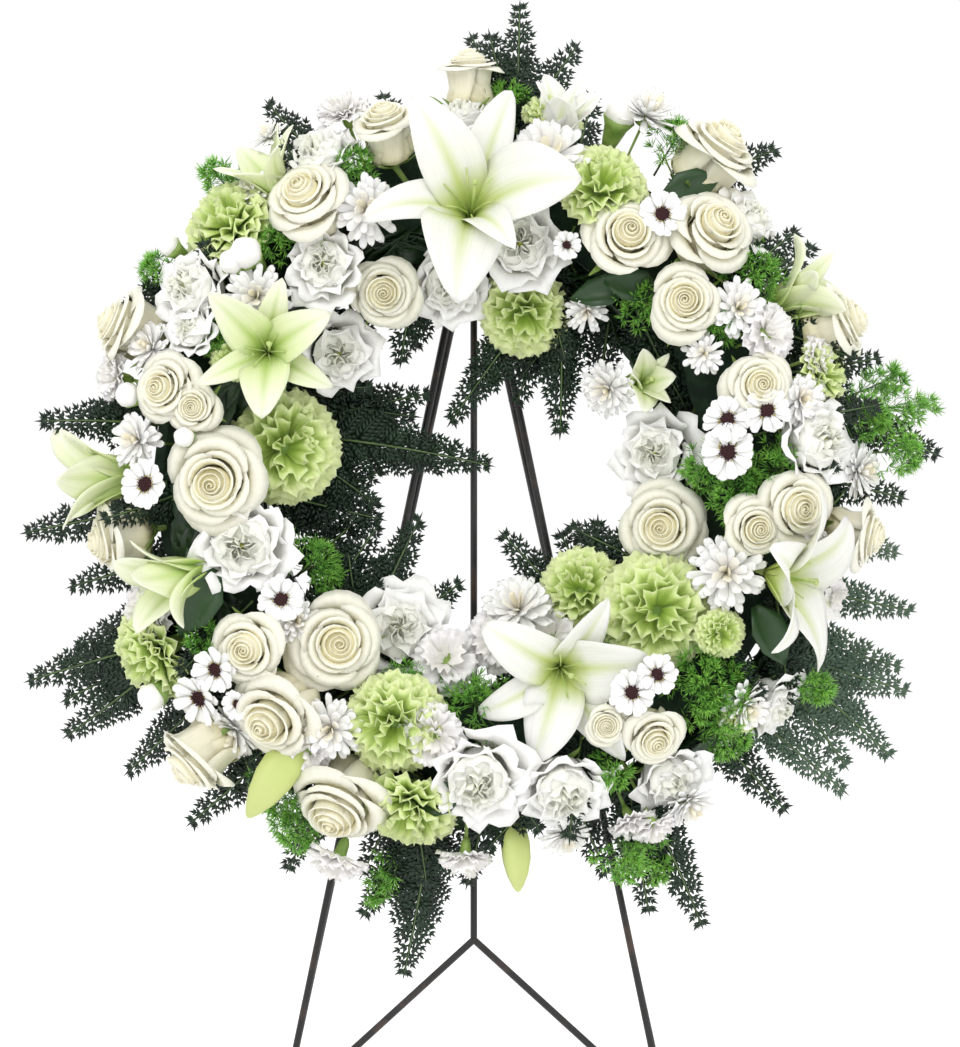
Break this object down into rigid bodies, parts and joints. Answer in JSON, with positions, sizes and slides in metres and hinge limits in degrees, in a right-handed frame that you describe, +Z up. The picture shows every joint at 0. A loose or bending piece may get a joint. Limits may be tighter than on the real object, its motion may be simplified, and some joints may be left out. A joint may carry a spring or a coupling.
{
  "type": "funeral wreath",
  "caption": "Standing funeral wreath: a foam ring dressed with white roses, lilies, carnations and ferns, resting on a black folding wire easel.",
  "frame": {"origin": "On the floor, under the middle of the whole wreath and easel.", "axes": "+Z up, +X to the viewer's right, and the wreath faces -Y."},
  "size_m": [0.7466, 0.6488, 1.4715],
  "materials": {
    "tray_plastic": "moulded matt dark green plastic",
    "floral_foam": "dry open-celled green floral foam",
    "rose_petal": "thick velvety ivory petals, a warmer cream towards the heart",
    "lily_petal": "waxy white petals with green-yellow midribs and throats",
    "lisianthus_petal": "thin ruffled white petals, green at their base",
    "carnation_petal": "crimped lime-green petals with paler fringed edges",
    "spray_petal": "small white petals of spray carnations, chrysanthemums and daisies",
    "daisy_eye": "velvety dark brown daisy eyes in a yellow-green ring",
    "foliage": "leathery dark fern fronds and bright feathery asparagus",
    "painted_wire": "satin black paint on steel wire, worn to brown in places",
    "rubber_foot": "matt black rubber"
  },
  "bodies": {
    "front_frame": {"ring_tray": "tray_plastic", "foam_ring": "floral_foam", "lily_1": "lily_petal", "lily_2": "lily_petal", "lily_3": "lily_petal", "lily_4": "lily_petal", "lily_5": "lily_petal", "lily_6": "lily_petal", "lily_7": "lily_petal", "lily_8": "lily_petal", "rose_1": "rose_petal", "rose_2": "rose_petal", "rose_3": "rose_petal", "rose_4": "rose_petal", "rose_5": "rose_petal", "rose_6": "rose_petal", "rose_7": "rose_petal", "rose_8": "rose_petal", "rose_9": "rose_petal", "rose_10": "rose_petal", "rose_11": "rose_petal", "rose_12": "rose_petal", "rose_13": "rose_petal", "rose_14": "rose_petal", "rose_15": "rose_petal", "lisianthus_1": "lisianthus_petal", "lisianthus_2": "lisianthus_petal", "lisianthus_3": "lisianthus_petal", "lisianthus_4": "lisianthus_petal", "lisianthus_5": "lisianthus_petal", "lisianthus_6": "lisianthus_petal", "carnation_1": "carnation_petal", "carnation_2": "carnation_petal", "carnation_3": "carnation_petal", "carnation_4": "carnation_petal", "carnation_5": "carnation_petal", "hole_fern_1": "foliage", "hole_fern_2": "foliage", "hole_fern_3": "foliage", "hole_fern_4": "foliage", "outer_foliage_1": "foliage", "outer_foliage_2": "foliage", "outer_foliage_3": "foliage", "outer_foliage_4": "foliage", "outer_foliage_5": "foliage", "outer_foliage_6": "foliage", "left_front_leg": "painted_wire", "right_front_leg": "painted_wire", "brace_wire": "painted_wire", "middle_rod": "painted_wire", "lower_crossbar": "painted_wire", "left_hook": "painted_wire", "right_hook": "painted_wire", "top_bracket": "painted_wire", "hinge_pin": "painted_wire", "left_front_foot": "rubber_foot", "right_front_foot": "rubber_foot"},
    "rear_legs": {"rear_frame": "painted_wire", "left_rear_foot": "rubber_foot", "right_rear_foot": "rubber_foot"}
  },
  "joints": [
    {"name": "rear_legs_fold", "type": "hinge", "parent": "front_frame", "child": "rear_legs", "pos_m": [-0.00858, -0.05203, 1.28059], "axis": [1, 0, 0], "range_deg": [-25, 0]}
  ]
}
